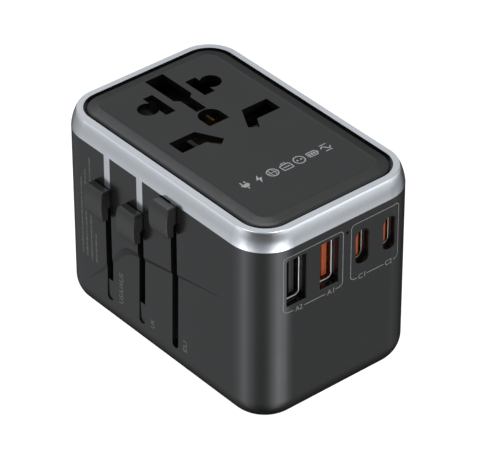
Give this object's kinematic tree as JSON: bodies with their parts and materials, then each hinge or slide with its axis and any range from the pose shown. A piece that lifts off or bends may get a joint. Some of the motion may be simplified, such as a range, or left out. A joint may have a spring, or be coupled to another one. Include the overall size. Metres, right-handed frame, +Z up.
{
  "type": "universal travel adapter",
  "caption": "Travel plug adapter with sliding pin sets, a shuttered multi-standard socket face, a metal trim ring and charging ports on one side.",
  "frame": {"origin": "centre of the flat pin face that the adapter stands on", "axes": "+X towards the charging ports, along the long side; -Y towards the slider knobs; +Z up, towards the socket face"},
  "size_m": [0.0746, 0.0516, 0.0539],
  "materials": {
    "shell_plastic": "fine-textured charcoal moulding",
    "panel_plastic": "smooth satin charcoal moulding",
    "knob_plastic": "satin charcoal moulding",
    "carriage_plastic": "black moulding",
    "tray_plastic": "dark grey flame-retardant moulding",
    "shutter_plastic": "grey moulding",
    "sleeve_plastic": "black pin sleeve",
    "ring_metal": "satin silver anodised",
    "plated_pin": "nickel-plated brass",
    "brass": "stamped brass",
    "steel": "plated steel",
    "fuse_ceramic": "ceramic cartridge",
    "circuit_board": "green solder mask",
    "ferrite": "dark ferrite",
    "winding_tape": "yellow polyester tape",
    "capacitor_sleeve": "shrink sleeve",
    "heat_sink_alloy": "plain extrusion",
    "orange_tongue": "orange insulator",
    "black_tongue": "black insulator",
    "light_pipe": "smoked clear light pipe"
  },
  "bodies": {
    "case": {"outer_shell": "shell_plastic", "pin_guide": "shell_plastic", "slot_stops": "shell_plastic", "trim_ring": "ring_metal", "socket_panel": "panel_plastic", "contact_tray": "tray_plastic", "live_contact": "brass", "neutral_contact": "brass", "earth_contact": "brass", "live_riser": "brass", "neutral_riser": "brass", "shutter_spring": "steel", "inner_frame": "tray_plastic", "case_screws": "steel", "fuse": "fuse_ceramic", "fuse_clips": "brass", "charger_pcb": "circuit_board", "output_pcb": "circuit_board", "transformer_core": "ferrite", "transformer_winding": "winding_tape", "bulk_capacitor": "capacitor_sleeve", "filter_capacitors": "capacitor_sleeve", "heat_sink": "heat_sink_alloy", "usb_a_shell_1": "steel", "usb_a_shell_2": "steel", "usb_a_tongue_1": "orange_tongue", "usb_a_tongue_2": "black_tongue", "usb_c_shell_1": "steel", "usb_c_shell_2": "steel", "usb_c_tongue_1": "orange_tongue", "usb_c_tongue_2": "orange_tongue", "led_pipe": "light_pipe"},
    "us_slider": {"us_knob": "knob_plastic", "us_carriage": "carriage_plastic"},
    "us_left_holder": {"us_rotor_left": "carriage_plastic", "us_blade_left": "plated_pin"},
    "us_right_holder": {"us_rotor_right": "carriage_plastic", "us_blade_right": "plated_pin"},
    "uk_slider": {"uk_knob": "knob_plastic", "uk_carriage": "carriage_plastic", "uk_pin_live": "plated_pin", "uk_pin_neutral": "plated_pin", "uk_pin_earth": "plated_pin", "uk_pin_sleeves": "sleeve_plastic"},
    "eu_slider": {"eu_knob": "knob_plastic", "eu_carriage": "carriage_plastic", "eu_pin_live": "plated_pin", "eu_pin_neutral": "plated_pin", "eu_pin_sleeves": "sleeve_plastic"},
    "shutter": {"safety_shutter": "shutter_plastic"}
  },
  "joints": [
    {"name": "us_slide", "type": "slide", "parent": "case", "child": "us_slider", "axis": [0, 0, -1], "range_m": [0, 0.018]},
    {"name": "us_left_twist", "type": "hinge", "parent": "us_slider", "child": "us_left_holder", "pos_m": [-0.01745, -0.00635, 0.025], "axis": [0, 0, 1], "range_deg": [0, 30]},
    {"name": "us_right_twist", "type": "hinge", "parent": "us_slider", "child": "us_right_holder", "pos_m": [-0.01745, 0.00635, 0.025], "axis": [0, 0, 1], "range_deg": [-30, 0]},
    {"name": "uk_slide", "type": "slide", "parent": "case", "child": "uk_slider", "axis": [0, 0, -1], "range_m": [0, 0.018]},
    {"name": "eu_slide", "type": "slide", "parent": "case", "child": "eu_slider", "axis": [0, 0, -1], "range_m": [0, 0.0323]},
    {"name": "shutter_slide", "type": "slide", "parent": "case", "child": "shutter", "axis": [1, 0, 0], "range_m": [0, 0.009], "stiffness_N_per_m": 80, "springref_m": -0.002, "deforming": ["shutter_spring"]}
  ]
}
